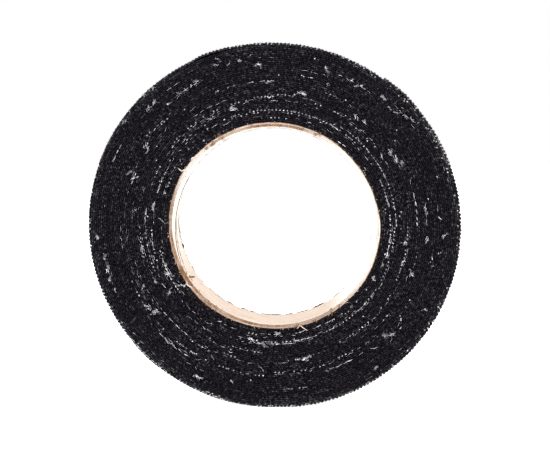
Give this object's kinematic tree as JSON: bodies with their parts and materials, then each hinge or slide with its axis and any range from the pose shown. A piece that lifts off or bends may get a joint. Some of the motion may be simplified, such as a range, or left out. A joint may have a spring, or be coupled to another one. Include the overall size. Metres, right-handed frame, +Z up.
{
  "type": "grip tape roll",
  "caption": "Roll of black cotton cloth grip tape wound as a spiral on a paper core, standing on its tread, with a free end that peels away.",
  "frame": {"origin": "on the ground under the roll's axis, midway between the two side faces, at the bottom centre of the roll's box", "axes": "+Z up, and +Y along the roll's axis from the front side face to the back one"},
  "size_m": [0.0751, 0.019, 0.0736],
  "materials": {
    "tape_cloth": "matte",
    "cotton_lint": "matte",
    "core_board": "matte",
    "wrap_paper": "matte",
    "liner_paper": "matte"
  },
  "bodies": {
    "roll": {"core_liner": "liner_paper", "core_ply_inner": "core_board", "core_ply_outer": "core_board", "core_wrap": "wrap_paper", "tape_winding": "tape_cloth"},
    "tape_end_1": {"tape_end_1": "tape_cloth"},
    "tape_end_2": {"tape_end_2": "tape_cloth"},
    "tape_end_3": {"tape_end_3": "tape_cloth"},
    "tape_end_4": {"tape_end_4": "tape_cloth"}
  },
  "joints": [
    {"name": "peel_1", "type": "hinge", "parent": "roll", "child": "tape_end_1", "pos_m": [0.03619, 0, 0.04711], "axis": [0, 1, 0], "range_deg": [0, 30]},
    {"name": "peel_2", "type": "hinge", "parent": "tape_end_1", "child": "tape_end_2", "pos_m": [0.03378, 0, 0.05319], "axis": [0, 1, 0], "range_deg": [0, 30]},
    {"name": "peel_3", "type": "hinge", "parent": "tape_end_2", "child": "tape_end_3", "pos_m": [0.03035, 0, 0.05875], "axis": [0, 1, 0], "range_deg": [0, 30]},
    {"name": "peel_4", "type": "hinge", "parent": "tape_end_3", "child": "tape_end_4", "pos_m": [0.02603, 0, 0.06362], "axis": [0, 1, 0], "range_deg": [0, 30]}
  ]
}
